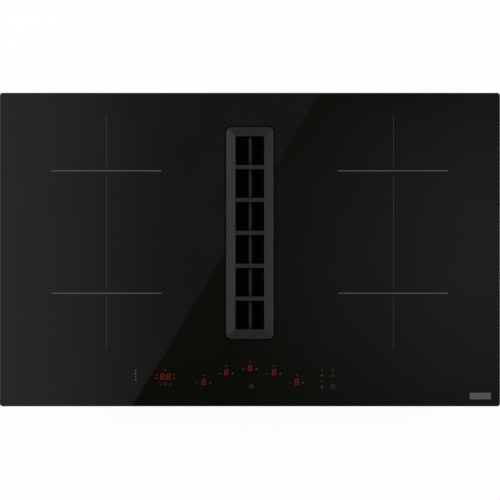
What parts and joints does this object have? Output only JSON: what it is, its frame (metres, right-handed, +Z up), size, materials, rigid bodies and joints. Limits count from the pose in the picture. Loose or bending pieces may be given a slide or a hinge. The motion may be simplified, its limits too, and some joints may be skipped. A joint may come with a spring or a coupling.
{
  "type": "downdraft induction cooktop",
  "caption": "Flush black glass induction cooktop with touch controls and a central cast vent grille, grease filter, overflow tank and extractor blower beneath.",
  "frame": {"origin": "middle of the worktop cut-out, on the plane of the worktop's top, which is the underside of the seal under the glass", "axes": "+X to the right along the long side, +Y to the rear, away from the touch controls, +Z up"},
  "size_m": [0.83, 0.52, 0.2175],
  "materials": {
    "black_glass": "polished black ceramic glass, opaque",
    "cast_grille": "matt black enamelled casting",
    "black_plastic": "fine matt",
    "dark_plastic": "fine matt",
    "grey_plastic": "satin",
    "pale_plastic": "satin",
    "rubber": "matt",
    "foam": "closed-cell foam",
    "silicone": "matt silicone",
    "sheet_steel": "galvanised sheet",
    "stainless": "brushed",
    "coated_steel": "matt black non-stick coating",
    "screw_steel": "zinc plated",
    "aluminium": "mill finish",
    "copper_coil": "enamelled copper strand",
    "ferrite": "matt sintered ferrite",
    "mica": "pressed mica sheet",
    "sensor_ceramic": "matt",
    "circuit_board": "green solder mask",
    "components": "mixed component bodies",
    "display_black": "gloss",
    "motor_steel": "satin",
    "tank_steel": "brushed"
  },
  "bodies": {
    "hob": {"glass_top": "black_glass", "perimeter_seal": "foam", "collar_gasket": "rubber", "vent_collar": "black_plastic", "well_seal": "foam", "casing_tray": "sheet_steel", "casing_partitions": "sheet_steel", "glass_brackets": "sheet_steel", "casing_screws": "screw_steel", "clamp_screws": "screw_steel", "coils": "copper_coil", "coil_carriers": "dark_plastic", "ferrite_bars": "ferrite", "mica_discs": "mica", "temperature_sensors": "sensor_ceramic", "coil_plate_left": "aluminium", "coil_plate_right": "aluminium", "power_boards": "circuit_board", "board_standoffs": "pale_plastic", "heatsinks": "aluminium", "board_components": "components", "fan_frames": "black_plastic", "control_holder": "pale_plastic", "control_board": "circuit_board", "display_modules": "display_black", "touch_pads": "silicone", "mains_terminal": "pale_plastic", "terminal_cover": "dark_plastic", "cable_grommet": "rubber", "plenum": "dark_plastic", "plenum_top": "dark_plastic", "plenum_gasket": "rubber", "plenum_screws": "screw_steel", "inlet_ring": "dark_plastic", "blower_scroll": "dark_plastic", "blower_cover": "dark_plastic", "blower_screws": "screw_steel", "fan_motor": "motor_steel", "motor_screws": "screw_steel", "outlet_duct": "pale_plastic", "duct_sleeve": "rubber", "drive_box": "dark_plastic", "drive_screws": "screw_steel"},
    "grille": {"vent_grille": "cast_grille", "grille_pads": "silicone"},
    "filter": {"filter_frame": "coated_steel", "filter_baffles": "coated_steel", "filter_handle": "coated_steel"},
    "tank": {"overflow_tank": "tank_steel"},
    "impeller": {"impeller": "black_plastic"},
    "fan_left": {"fan_rotor_left": "dark_plastic"},
    "fan_right": {"fan_rotor_right": "dark_plastic"},
    "flap": {"damper_flap": "grey_plastic"},
    "clamp_front_left": {"clamp_arm_front_left": "stainless"},
    "clamp_front_right": {"clamp_arm_front_right": "stainless"},
    "clamp_rear_left": {"clamp_arm_rear_left": "stainless"},
    "clamp_rear_right": {"clamp_arm_rear_right": "stainless"}
  },
  "joints": [
    {"name": "grille_lift", "type": "slide", "parent": "hob", "child": "grille", "axis": [0, 0, 1], "range_m": [0, 0.2]},
    {"name": "filter_lift", "type": "slide", "parent": "hob", "child": "filter", "axis": [0, 0, 1], "range_m": [0, 0.1]},
    {"name": "tank_slide", "type": "slide", "parent": "hob", "child": "tank", "axis": [0, -1, 0], "range_m": [0, 0.18]},
    {"name": "impeller_spin", "type": "hinge", "parent": "hob", "child": "impeller", "pos_m": [0.15, -0.03, -0.128], "axis": [1, 0, 0], "continuous": true},
    {"name": "fan_left_spin", "type": "hinge", "parent": "hob", "child": "fan_left", "pos_m": [-0.275, -0.116, -0.04], "axis": [0, 0, 1], "continuous": true},
    {"name": "fan_right_spin", "type": "hinge", "parent": "hob", "child": "fan_right", "pos_m": [0.275, -0.116, -0.04], "axis": [0, 0, 1], "continuous": true},
    {"name": "flap_swing", "type": "hinge", "parent": "hob", "child": "flap", "pos_m": [0.119, 0.06, -0.14689], "axis": [1, 0, 0], "range_deg": [0, 75]},
    {"name": "clamp_front_left_swing", "type": "hinge", "parent": "hob", "child": "clamp_front_left", "pos_m": [-0.37, -0.15, -0.0415], "axis": [0, 0, 1], "range_deg": [0, 90]},
    {"name": "clamp_front_right_swing", "type": "hinge", "parent": "hob", "child": "clamp_front_right", "pos_m": [0.37, -0.15, -0.0415], "axis": [0, 0, -1], "range_deg": [0, 90]},
    {"name": "clamp_rear_left_swing", "type": "hinge", "parent": "hob", "child": "clamp_rear_left", "pos_m": [-0.37, 0.15, -0.0415], "axis": [0, 0, -1], "range_deg": [0, 90]},
    {"name": "clamp_rear_right_swing", "type": "hinge", "parent": "hob", "child": "clamp_rear_right", "pos_m": [0.37, 0.15, -0.0415], "axis": [0, 0, 1], "range_deg": [0, 90]}
  ],
  "couplings": [
    {"joint": "filter_lift", "follows": "grille_lift", "ratio": 0.5}
  ]
}
